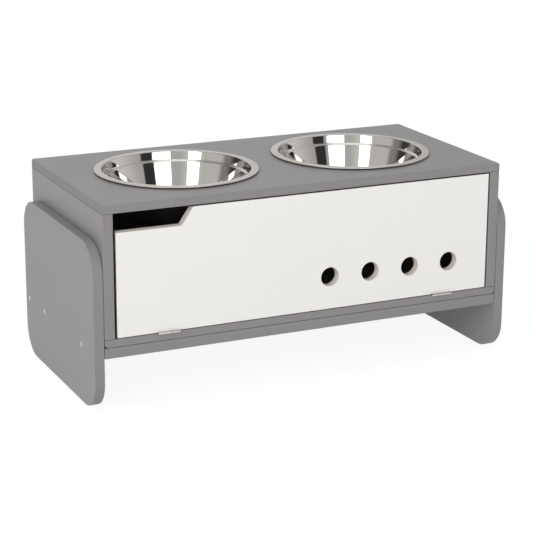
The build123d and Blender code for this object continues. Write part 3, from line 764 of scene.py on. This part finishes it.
# Each wall or corner of the room: its direction and half width, its lower and upper edge, how
# soft its edges are, and how bright it is. A later one covers an earlier one. Only the camera sees
# plain white beyond the paper.
ROOM = 0.53
CEILING = 0.43
CEILING_EDGE = (25, 50)          # heights between which the room turns into its ceiling
WALLS = {
    "lamp overhead": (0, 200, 68, 100, 4, 1.3),
    "right wall": (90, 32, -20, 45, 26, 0.82),
    "wall between the soft boxes": (-24, 12, -20, 45, 4, 0.6),
    "spill of the soft box on the left": (-52, 18, -20, 45, 8, 0.8),
    "left wall": (-85, 18, -20, 45, 8, 0.7),
    "far end of the left wall": (-112, 9, -20, 45, 5, 0.3),
    "back wall": (176, 28, -20, 45, 8, 0.85),
    "corner behind on the right": (130, 14, -20, 45, 6, 0.35),
    "dark corner on the right": (27, 10, -20, 45, 1.5, 0.045),
    "dark corner on the left": (-131, 12, -20, 45, 6, 0.06),
}

world = bpy.data.worlds.new("studio room")
bpy.context.scene.world = world
world.use_nodes = True
tree = world.node_tree
tree.nodes.clear()
way = add_node(tree, "SeparateXYZ", links={0: add_node(tree, "TexCoord").outputs["Generated"]})
behind = add_node(tree, "Math", {"operation": "MULTIPLY", 1: -1}, {0: way.outputs["Y"]})
turn = add_node(tree, "Math", {"operation": "ARCTAN2"}, {0: way.outputs["X"], 1: behind.outputs[0]})
rise = add_node(tree, "Math", {"operation": "ARCSINE"}, {0: way.outputs["Z"]})
degrees = {name: add_node(tree, "Math", {"operation": "DEGREES"}, {0: angle.outputs[0]}).outputs[0]
           for name, angle in (("turn", turn), ("rise", rise))}


def within(angle, centre, half, soft):
    """1 inside half of an angle either side of a centre, falling to 0 over a soft edge."""
    off = add_node(tree, "Math", {"operation": "SUBTRACT", 1: centre}, {0: angle})
    near = add_node(tree, "Math", {"operation": "WRAP", 1: 180, 2: -180}, {0: off.outputs[0]})
    far = add_node(tree, "Math", {"operation": "ABSOLUTE"}, {0: near.outputs[0]})
    return add_node(tree, "MapRange", {"interpolation_type": "SMOOTHSTEP", "From Min": half + soft,
                                       "From Max": half - soft}, {"Value": far.outputs[0]}).outputs[0]


lift = add_node(tree, "MapRange", {"interpolation_type": "SMOOTHSTEP", "From Min": CEILING_EDGE[0],
                                   "From Max": CEILING_EDGE[1], "To Min": ROOM, "To Max": CEILING},
                {"Value": degrees["rise"]})
room = lift.outputs[0]
for centre, half, low_edge, high_edge, soft, strength in WALLS.values():
    wide = within(degrees["turn"], centre, half, soft)
    tall = within(degrees["rise"], (low_edge + high_edge) / 2, (high_edge - low_edge) / 2, soft)
    inside = add_node(tree, "Math", {"operation": "MULTIPLY"}, {0: wide, 1: tall})
    room = add_node(tree, "MixRGB", {"Color2": (strength, strength, strength, 1)},
                    {"Fac": inside.outputs[0], "Color1": room}).outputs[0]
path = add_node(tree, "LightPath")
shown = add_node(tree, "MixRGB", {"Color2": (1, 1, 1, 1)},
                 {"Fac": path.outputs["Is Camera Ray"], "Color1": room})
light = add_node(tree, "Background", links={"Color": shown.outputs[0]})
add_node(tree, "OutputWorld", links={0: light.outputs[0]})


# Camera. It looks down a little on the door's side from the left, from far enough away that the
# boards stay nearly parallel.
TARGET = Vector((1.98, -1.76, 121.2)) * MM
VIEW_AZIMUTH = math.radians(-25.01)
VIEW_HEIGHT = math.radians(16.48)
VIEW_ROLL = math.radians(0.25)
VIEW_DISTANCE = 2475.6 * MM
SENSOR = 36                      # these two in mm
LENS = 120.9

lens = bpy.data.cameras.new("camera")
camera = bpy.data.objects.new("camera", lens)
bpy.context.scene.collection.objects.link(camera)
bpy.context.scene.camera = camera
lens.sensor_width = SENSOR
lens.lens = LENS
lens.clip_end = 4 * FLOOR_SIZE
back = Vector((math.sin(VIEW_AZIMUTH) * math.cos(VIEW_HEIGHT),
               -math.cos(VIEW_AZIMUTH) * math.cos(VIEW_HEIGHT), math.sin(VIEW_HEIGHT)))
camera.location = TARGET + back * VIEW_DISTANCE
aim = back.to_track_quat("Z", "Y").to_matrix().to_4x4()
camera.rotation_euler = (aim @ Matrix.Rotation(VIEW_ROLL, 4, "Z")).to_euler()

bpy.context.scene.view_settings.view_transform = "Standard"
